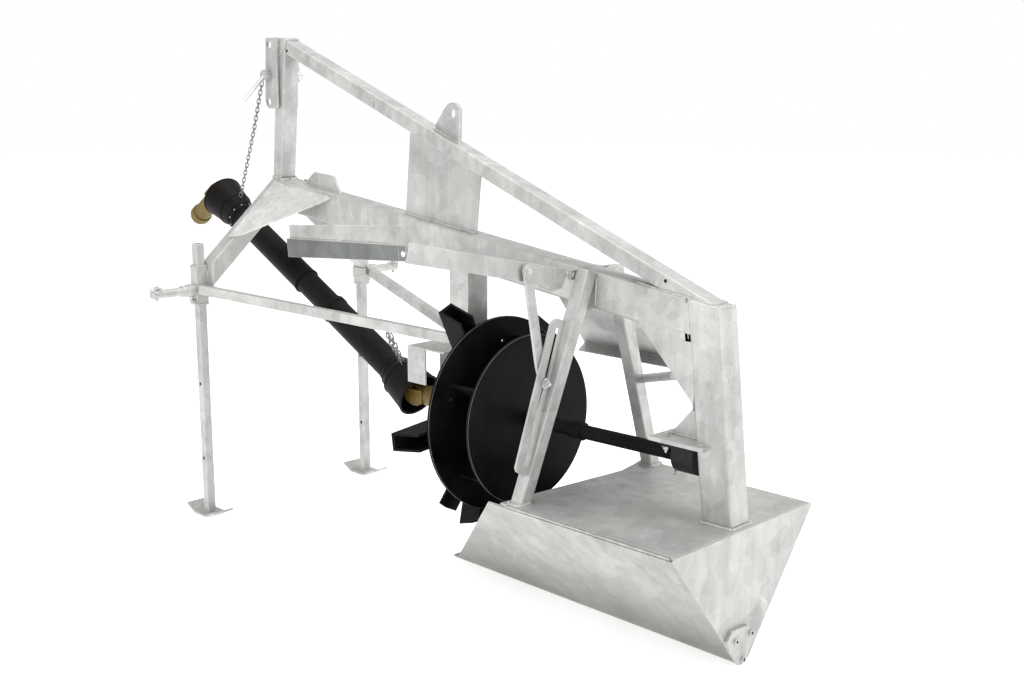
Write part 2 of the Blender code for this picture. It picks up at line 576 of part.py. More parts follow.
def strap_parts():
    """Flat arm from the near wing down to the slot, and the bolt that runs in the slot."""
    a, b = Vector((0, *STRAP_A)), Vector((0, *SLOT_BOLT))
    d = (b - a).normalized()
    n = Vector((0, -d.z, d.y))
    half = []
    for k in (-1, 1):
        half.append([a - d * 16 + n * 9 * k, a - d * 8 + n * 15 * k, b - d * 50 + n * 15 * k,
                     b + n * 10 * k, b + d * 8 + n * 6 * k])
    out = half[0] + half[1][::-1]
    arm = cross("wing_strap", [(p.y, p.z) for p in out], 1446, 1453)
    join(arm, rod("cut_pivot_bolt", (WING_REAR + GAP, a.y, a.z), (1459, a.y, a.z), 9, hidden=True))
    bolt = rod("slot_bolt", (1453 + GAP, b.y, b.z), (1473, b.y, b.z), 6, "steel")
    join(bolt, rod("cut_slot_washer", (1461 + GAP, b.y, b.z), (1463.5, b.y, b.z), 13, hidden=True),
         rod("cut_slot_nut", (1462, b.y, b.z), (1471, b.y, b.z), 10.5, sides=6, hidden=True))


def main():
    global PARTS, CUTTERS
    for obj in list(bpy.data.objects):
        bpy.data.objects.remove(obj)
    PARTS = bpy.data.collections.new("rotary_ditcher")
    CUTTERS = bpy.data.collections.new("cutters")
    for group in (PARTS, CUTTERS):
        bpy.context.scene.collection.children.link(group)
    frame_parts()
    top_pin_parts()
    brace_parts()
    rotor_parts()
    drive_parts()
    wing("near", -1, NEAR_TILT, 964.0, 960.0, NEAR_R, 20.0, 52.0, 40.0)
    wing("far", 1, FAR_TILT, 1175.0, 1005.0, WING_R, 0.0, 42.0, 42.0)
    strap_parts()


main()
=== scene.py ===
"""Looks for the rotary ditcher: camera, light, materials and the small pieces that CAD leaves out."""

import json
import math
import random

import bmesh
import bpy
from mathutils import Matrix, Vector


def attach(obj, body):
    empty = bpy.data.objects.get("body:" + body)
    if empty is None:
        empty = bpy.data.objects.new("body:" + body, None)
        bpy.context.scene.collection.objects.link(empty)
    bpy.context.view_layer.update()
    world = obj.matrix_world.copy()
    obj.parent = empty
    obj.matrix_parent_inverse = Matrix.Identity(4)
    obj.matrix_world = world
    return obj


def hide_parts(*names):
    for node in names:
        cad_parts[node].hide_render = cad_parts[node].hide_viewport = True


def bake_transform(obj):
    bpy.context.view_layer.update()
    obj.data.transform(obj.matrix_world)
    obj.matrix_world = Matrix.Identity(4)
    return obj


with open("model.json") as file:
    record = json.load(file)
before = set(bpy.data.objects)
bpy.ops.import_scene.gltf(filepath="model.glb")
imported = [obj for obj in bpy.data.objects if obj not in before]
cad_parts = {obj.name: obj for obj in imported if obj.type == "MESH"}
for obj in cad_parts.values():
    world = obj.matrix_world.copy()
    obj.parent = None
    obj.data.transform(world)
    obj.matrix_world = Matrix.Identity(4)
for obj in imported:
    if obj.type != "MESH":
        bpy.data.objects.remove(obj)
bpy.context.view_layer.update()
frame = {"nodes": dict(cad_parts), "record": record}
NODES = frame["nodes"]
CX, CY = 713.1, -63.6
random.seed(7)


def P(x, y, z):
    """Machine millimetres (X from the lower link pins, Z from the floor) to the row frame."""
    return Vector(((x - CX) / 1000, (y - CY) / 1000, z / 1000))


# ---------------------------------------------------------------- camera, light, stage
cam_data = bpy.data.cameras.new("camera")
cam = bpy.data.objects.new("camera", cam_data)
bpy.context.scene.collection.objects.link(cam)
cam_data.lens = 43.25
cam_data.sensor_width = 36
cam.location = P(3635.8, -2510.9, 1413.6)
look = Vector((-0.6912, 0.6967, -0.1921)).normalized()
CAMERA_ROLL = math.radians(0.14)
roll = Matrix.Rotation(CAMERA_ROLL, 4, "Z").to_quaternion()
cam.rotation_euler = (look.to_track_quat("-Z", "Y") @ roll).to_euler()
bpy.context.scene.camera = cam
bpy.context.scene.view_settings.view_transform = "Standard"

world = bpy.data.worlds.new("world")
bpy.context.scene.world = world
world.use_nodes = True
nt = world.node_tree
nt.nodes.clear()
out = nt.nodes.new("ShaderNodeOutputWorld")
mix = nt.nodes.new("ShaderNodeMixShader")
path = nt.nodes.new("ShaderNodeLightPath")
lit = nt.nodes.new("ShaderNodeBackground")
lit.inputs["Color"].default_value = (1.0, 1.0, 0.985, 1)
lit.inputs["Strength"].default_value = 0.62
seen = nt.nodes.new("ShaderNodeBackground")
seen.inputs["Color"].default_value = (1, 1, 1, 1)
seen.inputs["Strength"].default_value = 1.0
nt.links.new(path.outputs["Is Camera Ray"], mix.inputs["Fac"])
nt.links.new(lit.outputs[0], mix.inputs[1])
nt.links.new(seen.outputs[0], mix.inputs[2])
nt.links.new(mix.outputs[0], out.inputs["Surface"])


def area(name, place, target, size, power, colour=(1, 1, 1)):
    data = bpy.data.lights.new(name, "AREA")
    data.shape = "SQUARE"
    data.size = size
    data.energy = power
    data.color = colour
    obj = bpy.data.objects.new(name, data)
    bpy.context.scene.collection.objects.link(obj)
    obj.location = place
    obj.rotation_euler = (Vector(target) - Vector(place)).to_track_quat("-Z", "Y").to_euler()


area("top_light", (0.4, 0.4, 4.6), (0, 0, 0.5), 4.5, 130)
area("right_light", (5.2, 1.6, 2.6), (0.3, 0, 0.7), 3.0, 82)
area("left_light", (-1.0, -5.2, 2.4), (0, 0, 0.8), 3.0, 60)

floor_mesh = bpy.data.meshes.new("floor")
R = 30.0
floor_mesh.from_pydata([(-R, -R, 0), (R, -R, 0), (R, R, 0), (-R, R, 0)], [], [(0, 1, 2, 3)])
floor = bpy.data.objects.new("floor", floor_mesh)
bpy.context.scene.collection.objects.link(floor)
floor.location.z = -0.0005
fmat = bpy.data.materials.new("floor")
fmat.use_nodes = True
fnt = fmat.node_tree
bsdf = fnt.nodes["Principled BSDF"]
bsdf.inputs["Base Color"].default_value = (0.88, 0.88, 0.88, 1)
bsdf.inputs["Roughness"].default_value = 0.9
bsdf.inputs["Emission Color"].default_value = (1, 1, 1, 1)
bsdf.inputs["Emission Strength"].default_value = 0.56
floor_mesh.materials.append(fmat)


# ---------------------------------------------------------------- materials
class Net:
    """A small helper to wire one material."""

    def __init__(self, name):
        self.mat = bpy.data.materials.new(name)
        self.mat.use_nodes = True
        self.tree = self.mat.node_tree
        self.bsdf = self.tree.nodes["Principled BSDF"]
        self.coords = self.node("ShaderNodeTexCoord").outputs["Object"]

    def node(self, kind, **values):
        made = self.tree.nodes.new(kind)
        for key, value in values.items():
            if hasattr(made, key):
                setattr(made, key, value)
            else:
                made.inputs[key.replace("_", " ")].default_value = value
        return made

    def link(self, a, b):
        self.tree.links.new(a, b)

    def stretched(self, scale):
        m = self.node("ShaderNodeMapping")
        m.inputs["Scale"].default_value = scale
        self.link(self.coords, m.inputs["Vector"])
        return m.outputs["Vector"]

    def noise(self, scale, detail=4.0, rough=0.55, vector=None):
        n = self.node("ShaderNodeTexNoise", Scale=scale, Detail=detail, Roughness=rough)
        self.link(vector or self.coords, n.inputs["Vector"])
        return n.outputs["Fac"]

    def cells(self, scale, vector=None, random_out=True):
        n = self.node("ShaderNodeTexVoronoi", Scale=scale)
        self.link(vector or self.coords, n.inputs["Vector"])
        return n.outputs["Color"] if random_out else n.outputs["Distance"]

    def spread(self, value, low, high, to_low, to_high):
        n = self.node("ShaderNodeMapRange")
        for key, v in zip(("From Min", "From Max", "To Min", "To Max"), (low, high, to_low, to_high)):
            n.inputs[key].default_value = v
        self.link(value, n.inputs["Value"])
        return n.outputs["Result"]

    def math(self, operation, a, b=None, clamp=False):
        n = self.node("ShaderNodeMath", operation=operation, use_clamp=clamp)
        for k, v in enumerate((a, b)):
            if v is None:
                continue
            if isinstance(v, (int, float)):
                n.inputs[k].default_value = v
            else:
                self.link(v, n.inputs[k])
        return n.outputs[0]

    def mix(self, fac, a, b):
        n = self.node("ShaderNodeMix", data_type="RGBA")
        for k, v in (("Factor", fac), ("A", a), ("B", b)):
            socket_type = "VALUE" if k == "Factor" else "RGBA"
            sock = next(s for s in n.inputs if s.name == k and s.type == socket_type)
            if isinstance(v, (int, float)):
                sock.default_value = v
            elif isinstance(v, tuple):
                sock.default_value = v
            else:
                self.link(v, sock)
        return next(s for s in n.outputs if s.type == "RGBA")

    def edges(self, radius):
        """About 1 on an edge, 0 on a flat."""
        bev = self.node("ShaderNodeBevel", Radius=radius)
        geo = self.node("ShaderNodeNewGeometry")
        dot = self.node("ShaderNodeVectorMath", operation="DOT_PRODUCT")
        self.link(bev.outputs[0], dot.inputs[0])
        self.link(geo.outputs["Normal"], dot.inputs[1])
        return self.spread(dot.outputs["Value"], 0.995, 0.85, 0.0, 1.0)

    def bump(self, height, distance, radius=0.0015, strength=1.0):
        bev = self.node("ShaderNodeBevel", Radius=radius)
        n = self.node("ShaderNodeBump", Strength=strength, Distance=distance)
        self.link(height, n.inputs["Height"])
        self.link(bev.outputs[0], n.inputs["Normal"])
        self.link(n.outputs[0], self.bsdf.inputs["Normal"])


def galvanized(name, tone=1.0, spangle=34.0, radius=0.0025, tint=(0.985, 1.0, 0.975), ground_shade=False):
    """Hot-dip zinc: spangle cells, cloudy patches, soft runs, and pale edges that are partly worn zinc and
    partly painted highlight; optionally painted shade that darkens it towards the floor.
    """
    n = Net(name)
    warp = n.node("ShaderNodeVectorMath", operation="ADD")
    jitter = n.node("ShaderNodeTexNoise", Scale=22.0, Detail=3.0)
    n.link(n.coords, jitter.inputs["Vector"])
    small = n.node("ShaderNodeVectorMath", operation="SCALE", Scale=0.022)
    n.link(jitter.outputs["Color"], small.inputs[0])
    n.link(n.coords, warp.inputs[0])
    n.link(small.outputs[0], warp.inputs[1])
    cell = n.node("ShaderNodeSeparateColor")
    n.link(n.cells(spangle, warp.outputs[0]), cell.inputs[0])
    cell2 = n.node("ShaderNodeSeparateColor")
    n.link(n.cells(spangle * 0.45, warp.outputs[0]), cell2.inputs[0])
    cloud = n.noise(3.2, 5.0, 0.6)
    streak = n.noise(9.0, 4.0, 0.6, n.stretched((3.0, 3.0, 0.5)))
    fine = n.noise(160.0, 3.0, 0.6)
    v = n.math("MULTIPLY", n.spread(cell.outputs[0], 0, 1, -0.5, 0.5), 0.19)
    v = n.math("ADD", v, n.math("MULTIPLY", n.spread(cell2.outputs[1], 0, 1, -0.5, 0.5), 0.17))
    v = n.math("ADD", v, n.spread(cloud, 0.3, 0.7, -0.20, 0.20))
    v = n.math("ADD", v, n.spread(streak, 0.3, 0.7, -0.12, 0.12))
    v = n.math("ADD", v, n.spread(fine, 0.3, 0.7, -0.05, 0.05))
    v = n.math("ADD", v, 0.5, True)
    low = tuple(0.30 * tone * t for t in tint) + (1,)
    high = tuple(0.74 * tone * t for t in tint) + (1,)
    base = n.mix(v, low, high)
    stain = n.math("MULTIPLY", n.spread(n.noise(1.7, 6.0, 0.6), 0.5, 0.72, 0, 1), 0.35)
    base = n.mix(stain, base, (0.46 * tone, 0.45 * tone, 0.41 * tone, 1))
    # painted shade: the zinc darkens towards the floor as contact shade, broken up by the cloud noise
    if ground_shade:
        place = n.node("ShaderNodeSeparateXYZ")
        n.link(n.node("ShaderNodeNewGeometry").outputs["Position"], place.inputs[0])
        contact_shade = n.math("MULTIPLY", n.spread(place.outputs["Z"], 0.015, 0.22, 1.0, 0.0),
                       n.spread(cloud, 0.3, 0.65, 0.45, 0.95))
        base = n.mix(contact_shade, base, (0.20 * tone, 0.20 * tone, 0.175 * tone, 1))
    # pale edges: partly worn zinc, partly a painted highlight along every edge
    edge = n.math("MULTIPLY", n.edges(radius * 1.3), 0.6)
    n.link(n.mix(edge, base, (0.9, 0.9, 0.89, 1)), n.bsdf.inputs["Base Color"])
    n.bsdf.inputs["Metallic"].default_value = 0.45
    n.link(n.spread(v, 0.1, 0.9, 0.58, 0.40), n.bsdf.inputs["Roughness"])
    height = n.math("ADD", n.math("MULTIPLY", streak, 0.6), n.math("MULTIPLY", fine, 0.25))
    height = n.math("ADD", height, n.math("MULTIPLY", cell.outputs[0], 0.12))
    n.bump(height, 0.0012, radius, 0.55)
    return n.mat


def paint(name, colour, worn, rough=0.38, wear=0.35, radius=0.0015, dust=0.12, metallic=0.0):
    n = Net(name)
    cloud = n.noise(6.0, 5.0, 0.6)
    fine = n.noise(120.0, 3.0, 0.6)
    a = (*colour, 1)
    b = (*[min(1, c * 1.6 + 0.012) for c in colour], 1)
    base = n.mix(n.spread(cloud, 0.35, 0.75, 0, 1), a, b)
    dusty = n.math("MULTIPLY", n.spread(fine, 0.55, 0.75, 0, 1), dust)
    base = n.mix(dusty, base, (0.32, 0.31, 0.29, 1))
    edge = n.math("MULTIPLY", n.edges(radius), n.spread(n.noise(40.0), 0.42, 0.6, 0, wear))
    n.link(n.mix(edge, base, (*worn, 1)), n.bsdf.inputs["Base Color"])
    n.bsdf.inputs["Metallic"].default_value = metallic
    n.link(n.spread(cloud, 0.3, 0.7, rough - 0.07, rough + 0.12), n.bsdf.inputs["Roughness"])
    n.bump(n.math("ADD", fine, n.math("MULTIPLY", cloud, 2.0)), 0.0006, radius, 0.4)
    return n.mat


ZINC = galvanized("galvanized")
ZINC_SHEET = galvanized("galvanized_sheet", 0.97, 22.0)
ZINC_SHOE = galvanized("galvanized_shoe", 0.94, 24.0, ground_shade=True)
ZINC_BRIGHT = galvanized("galvanized_bright", 1.3, 60.0)
# a dark copy of the zinc: painted shade for the near wing's lip
ZINC_PAINTED_SHADE = galvanized("galvanized_shaded", 0.36, 26.0, 0.0015, (0.95, 1.0, 0.96))
PLATED = paint("plated_steel", (0.50, 0.50, 0.50), (0.8, 0.8, 0.8), 0.32, 0.5, 0.001, 0.25, 0.75)
BLACK = paint("black_paint", (0.0016, 0.0015, 0.0015), (0.12, 0.12, 0.12), 0.5, 0.5, 0.0018, 0.0)
YELLOW = paint("yellow_paint", (0.115, 0.075, 0.004), (0.03, 0.02, 0.012), 0.45, 0.8, 0.004, 0.35)
CHAIN = paint("chain_zinc", (0.20, 0.20, 0.19), (0.5, 0.5, 0.5), 0.4, 0.5, 0.001, 0.2, 0.6)
PLASTIC = paint("guard_plastic", (0.0042, 0.0024, 0.0024), (0.03, 0.02, 0.02), 0.5, 0.2, 0.0015, 0.01)
GREEN = paint("dark_green_paint", (0.004, 0.0065, 0.005), (0.14, 0.15, 0.12), 0.42, 0.4, 0.002, 0.05)
for dull, level in ((BLACK, 0.10), (PLASTIC, 0.11), (GREEN, 0.25)):
    dull.node_tree.nodes["Principled BSDF"].inputs["Specular IOR Level"].default_value = level
WELD = galvanized("weld", 1.05, 90.0, 0.0006)
# painted shade for holes and sockets that have no real depth
HOLE_SHADE = paint("painted_hole_shade", (0.01, 0.01, 0.01), (0.02, 0.02, 0.02), 0.9, 0, 0.0005, 0)
SLOT_MATERIAL = {
    "galvanized": ZINC, "black_paint": BLACK, "yellow_paint": YELLOW, "guard_plastic": PLASTIC,
    "dark_green_paint": GREEN, "plated_steel": PLATED,
}
SHEETS = ("shoe_", "wing_near", "wing_far", "mid_plate", "corner_gusset", "rear_gusset")
for part in frame["record"]["subparts"]:
    node = part["node"]
    mat = SLOT_MATERIAL[part["material_slot"]]
    if node.startswith(SHEETS):
        mat = ZINC_SHEET
    if node.startswith(("shoe_side", "shoe_sole")):
        mat = ZINC_SHOE
    if node.startswith("corner_gusset"):
        mat = ZINC_BRIGHT
    if node.startswith(("lower_link_pin", "wing_hinge", "wear_plate")):
        mat = ZINC
    data = NODES[node].data
    data.materials.clear()
    data.materials.append(mat)


# ---------------------------------------------------------------- small pieces
def made(name, bm, mat, body="root", smooth=True, slot=None):
    bmesh.ops.recalc_face_normals(bm, faces=bm.faces)
    mesh = bpy.data.meshes.new(name)
    bm.to_mesh(mesh)
    bm.free()
    if smooth:
        mesh.shade_smooth()
    mesh.materials.append(mat)
    obj = bpy.data.objects.new(name, mesh)
    bpy.context.scene.collection.objects.link(obj)
    if body:
        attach(obj, body)
    return obj


def sweep(bm, points, radius, sides=8, closed=False, ripple=0.0, pitch=0.004):
    """A tube along points. With ripple it looks like a laid weld bead."""
    pts = [Vector(p) for p in points]
    if ripple:
        fine = []
        ends = list(zip(pts, pts[1:]))
        for a, b in ends:
            steps = max(2, int((b - a).length / (pitch * 0.5)))
            fine += [a.lerp(b, k / steps) for k in range(steps)]
        pts = fine + [pts[-1]]
    count = len(pts)
    rings = []
    ref = None
    for k, p in enumerate(pts):
        a = pts[(k - 1) % count] if closed or k else p
        b = pts[(k + 1) % count] if closed or k < count - 1 else p
        d = (b - a).normalized()
        if ref is None:
            ref = d.orthogonal().normalized()
        ref = (ref - d * ref.dot(d)).normalized()
        other = d.cross(ref)
        r = radius
        c = p
        if ripple:
            swell = 0.6 if k % 2 else -0.6
            r *= 1 + ripple * math.sin(k * math.pi) + ripple * swell + random.uniform(-0.1, 0.1)
            if k in (0, count - 1):
                r *= 0.6
        rings.append([bm.verts.new(c + (ref * math.cos(t) + other * math.sin(t)) * r)
                      for t in (math.tau * j / sides for j in range(sides))])
    pairs = list(zip(rings, rings[1:]))
    if closed:
        pairs.append((rings[-1], rings[0]))
    else:
        bm.faces.new(rings[0][::-1])
        bm.faces.new(rings[-1])
    for one, two in pairs:
        for j in range(sides):
            m = (j + 1) % sides
            bm.faces.new((one[j], one[m], two[m], two[j]))


WELDS = {}


def bead(body, *points, r=4.0):
    """A weld bead through machine points, collected per body."""
    bm = WELDS.setdefault(body, bmesh.new())
    sweep(bm, [P(*p) for p in points], r / 1000, 7, False, 0.16, 0.006)


def prism_ring(bm, centre, axis, radius, low, high, sides, turn=0.0):
    axis = axis.normalized()
    u = axis.orthogonal().normalized()
    v = axis.cross(u)
    rings = []
    for h in (low, high):
        rings.append([bm.verts.new(centre + axis * h + (u * math.cos(t) + v * math.sin(t)) * radius)
                      for t in (turn + math.tau * k / sides for k in range(sides))])
    bm.faces.new(rings[0][::-1])
    bm.faces.new(rings[1])
    for k in range(sides):
        m = (k + 1) % sides
        bm.faces.new((rings[0][k], rings[0][m], rings[1][m], rings[1][k]))


def bolt(name, body, place, axis, size=8.0, head=6.0, washer=True, stub=0.0, mat=PLATED):
    """A hex head with a washer. place is on the surface, axis points away from it."""
    bm = bmesh.new()
    c, a = P(*place), Vector(axis).normalized()
    base = 0.0002
    if washer:
        prism_ring(bm, c, a, size * 1.55 / 1000, base, base + 0.0018, 24)
        base += 0.0018
    prism_ring(bm, c, a, size / 1000, base, base + head / 1000, 6, random.random())
    if stub:
        prism_ring(bm, c, a, size * 0.5 / 1000, base, base + (head + stub) / 1000, 16)
    obj = made(name, bm, mat, body, False)
    mod = obj.modifiers.new("Bevel", "BEVEL")
    mod.width = 0.0006
    mod.segments = 2
    return obj


def wire(name, body, points, r, mat=PLATED, closed=False, sides=10):
    bm = bmesh.new()
    sweep(bm, [P(*p) for p in points], r / 1000, sides, closed)
    return made(name, bm, mat, body)


def beam_top(x):
    return 1050 - 0.124 * (x - 800)


def beam_low(x):
    return beam_top(x) - 100 * math.hypot(1, 0.124)


def brace_top(x):
    return 1530 - 0.3886 * (x - 300)


def column_front(z):
    return 1799 + (910 - z) * 0.1239


# ---------------------------------------------------------------- chains
def chain(node, points, wire_r=2.0, pitch=17.0):
    """Welded links along a route of machine points, replacing the plain CAD tube."""
    route = [P(*p) for p in points]
    lengths = [(b - a).length for a, b in zip(route, route[1:])]
    total = sum(lengths)
    count = max(2, round(total / (pitch / 1000)))
    bm = bmesh.new()

    def place(s):
        for a, b, length in zip(route, route[1:], lengths):
            if s <= length:
                return a.lerp(b, s / length)
            s -= length
        return route[-1]

    side = None
    for k in range(count):
        c = place(total * (k + 0.5) / count)
        d = (place(total * (k + 1) / count) - place(total * k / count)).normalized()
        side = d.orthogonal().normalized() if side is None else (side - d * side.dot(d)).normalized()
        u = side if k % 2 == 0 else d.cross(side)
        half_l, half_w = pitch * 0.68 / 1000, pitch * 0.33 / 1000
        loop = []
        for j in range(16):
            t = math.tau * j / 16
            x = math.cos(t) * half_w + 0
            y = math.sin(t) * half_w + (half_l - half_w) * (1 if math.sin(t) >= 0 else -1)
            loop.append(c + d * y + u * x)
        sweep(bm, loop, wire_r / 1000, 6, True)
    obj = made(node + "_links", bm, CHAIN, None if node in NODES else "root")
    if node in NODES:
        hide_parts(node)
        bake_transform(obj)
    return obj


tilt = math.radians(27.34)
PF = Vector((-math.cos(tilt), 0, math.sin(tilt)))
PW = Vector((math.sin(tilt), 0, math.cos(tilt)))
J1 = Vector((718, 0, 492.0))


def on_shaft(s, w=0.0, y=0.0):
    return tuple(J1 + PF * s + PW * w + Vector((0, y, 0)))


chain("chain_upper",
      [(-26, -45, 1474), (-58, -42, 1400), (-100, -36, 1310), (-160, -24, 1212), on_shaft(1122, 66, -6)],
      1.7, 16.0)
lower = chain("chain_lower", [(702, -106, 698), (696, -92, 672), (690, -70, 642), (676, -40, 612),
                              on_shaft(84, 68, -8)],
              1.9, 17.0)
chain("chain_lower_end", [(712, -104, 697), (722, -92, 662), (712, -66, 622), (690, -40, 590)],
      1.9, 17.0)


# ---------------------------------------------------------------- welds
def plate(name, body, outline, push, mat=ZINC, bevel=0.0):
    """A thin plate from machine points, pushed along a machine vector."""
    bm = bmesh.new()
    face = bm.faces.new([bm.verts.new(P(*p)) for p in outline])
    grown = bmesh.ops.extrude_face_region(bm, geom=[face])
    verts = [v for v in grown["geom"] if isinstance(v, bmesh.types.BMVert)]
    bmesh.ops.translate(bm, verts=verts, vec=Vector(push) / 1000)
    obj = made(name, bm, mat, body, False)
    if bevel:
        mod = obj.modifiers.new("Bevel", "BEVEL")
        mod.width = bevel / 1000
        mod.segments = 2
    return obj


def loop(*points, r=3.5, body="root"):
    for a, b in zip(points, points[1:] + points[:1]):
        bead(body, a, b, r=r)


def dot(name, place, axis, r, mat=None, body="root"):
    """A small dark disc on a flat: painted shade standing in for a drain hole or a socket."""
    bm = bmesh.new()
    prism_ring(bm, P(*place), Vector(axis), r / 1000, -0.0005, 0.0004, 18)
    return made(name, bm, mat or HOLE_SHADE, body, False)


foot_z = 357.5
f0, f1 = column_front(356) - 3, column_front(356) + 97
loop((f0, -43, foot_z), (f1, -43, foot_z), (f1, 43, foot_z), (f0, 43, foot_z), r=5.5)
loop((1417, -290, foot_z), (1458, -292, foot_z), (1458, -247, foot_z), (1417, -247, foot_z), r=6)
loop((1435, 293, foot_z), (1480, 293, foot_z), (1480, 248, foot_z), (1435, 248, foot_z), r=6)
for s in (-1, 1):
    y = s * 41
    gusset = [(1650, y, beam_low(1650) + 12), (1650, y, beam_low(1650) - 1), (1757, y, 734), (1827, y, 661),
              (column_front(640) - 1, y, 641), (column_front(700) + 9, y, 700),
              (column_front(813) + 9, y, 836)]
    plate("gusset_skin_%d" % s, "root", [(a, s * 40.02, c) for a, b, c in gusset], (0, s * 0.5, 0), ZINC)
    bead("root", (1797, s * 39.6, 918), (1810, s * 39.8, 824), r=1.4)
    bead("root", (60, y, beam_low(62) + 2), (60, y, beam_top(62) - 2), r=4)
    bead("root", (-2, s * 31, 1149.5), (49, s * 31, 1149.5), r=5)
    bead("root", (1700, s * 31, beam_top(1700) + 1), (1875, s * 31, beam_top(1875) + 1), r=3.5)
    bead("root", (1630, s * 27, beam_top(1630) + 2), (1700, s * 31, beam_top(1700) + 1), r=3)
    bead("root", (56, s * 39, 1618), (56, s * 39, 1388), r=3.5)
    bead("root", (920, s * 41, beam_low(920)), (1000, s * 41, beam_low(1000)), r=4)
    bead("root", (56, s * 31, 1560), (100, s * 31, 1590), r=3)
    bead("root", (142, s * 5, beam_top(142) + 1), (349, s * 5, beam_top(349) + 1), r=3.5)
    bead("root", (1461, s * 55, beam_low(1461) + 2), (1501, s * 51, beam_low(1501) + 2), r=4)
    bead("root", (1459, s * 41.5, 955), (1459, s * 43, 872), r=3)
    bead("root", (1503, s * 41.5, 950), (1502, s * 43, 872), r=3)
    bead("root", (824, s * 7, brace_top(824) + 1), (927, s * 7, brace_top(927) + 1), r=3.5)
    bead("root", (64, s * 238, 960), (64, s * 52, 1130), r=3.5)
    bead("root", (70, s * 52, 1139), (330, s * 42, 1100), r=4)
    bead("root", (25, s * 322, 788), (25, s * 322, 848), r=3)
    bead("root", (900, s * 34, 716), (918, s * 41, 712), r=3.5)
    bead("root", (1742, s * 69, 559), (1795, s * 69, 559), r=1.5)
    bead("root", (1848, s * 41, 559), (1882, s * 41, 559), r=3)
bead("root", (684, -11, beam_top(684) + 2), (1000, -11, beam_top(1000) + 2), r=4.5)
bead("root", (684, 1, beam_top(684) + 2), (1000, 1, beam_top(1000) + 2), r=4.5)
bead("root", (712, -10, brace_top(712) - 47), (1018, -10, brace_top(1018) - 47), r=3)
bead("root", (1897, -36, 914), (1897, 36, 914), r=3)
bead("root", (1455, -166, 800), (1455, -276, 480), r=3.5)
bead("root", (1418, -299, 352), (1968, -299, 352), r=3)
bead("root", (1973, -292, 354), (1973, 292, 354), r=3)
bead("root", (1979, -296, 347), (1979, -31, 12), r=2)
bead("root", (1733, 4, 560), (1836, 4, 560), r=3)
bead("root", (1733, -4, 560), (1836, -4, 560), r=3)
bead("root", (559, -30.5, brace_top(559) - 3), (559, -30.5, brace_top(559) - 42), r=2)
# the pale chamfer along the near edge of the deck
plate("deck_band", "root", [(1402, -297, 356.2), (1972, -297, 356.2), (1972, -270, 356.2), (1462, -270, 356.2)],
      (0, 0, 1.0), ZINC_SHEET)
# skins over the seam between the beam and the column
for s in (-1, 1):
    plate("beam_seam_%d" % s, "root", [(1788, s * 40.02, 917), (1806, s * 40.02, 917), (1819, s * 40.02, 818),
                                       (1801, s * 40.02, 818)], (0, s * 0.5, 0), ZINC)
# drain holes, as discs of painted shade
dot("drain_mast", (104, -30.2, 1574), (0, -1, 0), 5)
dot("drain_brace", (1725, -30.2, brace_top(1725) - 14), (0, -1, 0), 5)

# ---------------------------------------------------------------- near wing
wt = math.radians(11.5)
WU, WV = Vector((0, -math.cos(wt), math.sin(wt))), Vector((0, math.sin(wt), math.cos(wt)))
WH = Vector((0, -75, 955))


def on_wing(x, out, up, fall=0.0):
    p = WH + WU * out + WV * (up - 20 * fall)
    return (x, p.y, p.z)


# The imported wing_near is only its rear flange. The front flange and the lip's face below stand free of it,
# with no sheet or lip behind them.
plate("wing_front_flange", "wing_near",
      [(966, -646.5, 1094), (966, -243, 1063.8), (966, -239, 987), (966, -643, 1053)],
      (5, 0, 0), ZINC_SHEET)
LIP_FRONT, LIP_REAR, LIP_SPLIT = 962, 1433, 1408
LIP_HOLE_X, LIP_HOLE_SHARE, LIP_HOLE_R, LIP_DEPTH = 1424, 0.526, 7.2, 38


def on_lip(x, share):
    """A point where the near wing's lip would be, with share 0 at its top edge and 1 at its bottom edge."""
    t = (LIP_REAR - x) / (LIP_REAR - LIP_FRONT)
    top = Vector(on_wing(x, 585.6, 6, t))
    return tuple(top.lerp(Vector(on_wing(x, 575 - 3 * t, -30 - 11 * t, t)), share))


# the lip's face, darkened with painted shade: a long plate, and two halves that leave a hole between them
plate("wing_lip_face", "wing_near",
      [on_lip(LIP_FRONT, 0), on_lip(LIP_SPLIT, 0), on_lip(LIP_SPLIT, 1), on_lip(LIP_FRONT, 1)],
      tuple(WU * 0.6), ZINC_PAINTED_SHADE)
for edge, turn in ((0, -1), (1, 1)):
    arc = [on_lip(LIP_HOLE_X + LIP_HOLE_R * math.cos(math.pi * k / 10),
                  LIP_HOLE_SHARE + turn * LIP_HOLE_R / LIP_DEPTH * math.sin(math.pi * k / 10))
           for k in range(11)]
    plate("wing_lip_end_%d" % edge, "wing_near",
          [on_lip(LIP_SPLIT, edge), on_lip(LIP_REAR, edge), on_lip(LIP_REAR, LIP_HOLE_SHARE), *arc,
           on_lip(LIP_SPLIT, LIP_HOLE_SHARE)], tuple(WU * 0.6), ZINC_PAINTED_SHADE)
for a, b in ((962, 1), (1180, 0.52)):
    bead("wing_near", on_wing(a, 578, 10, b), on_wing(a + 200, 578, 10, b - 0.45), r=2)
bead("wing_near", on_wing(1430, 560, 10), on_wing(1430, 40, 10), r=3)

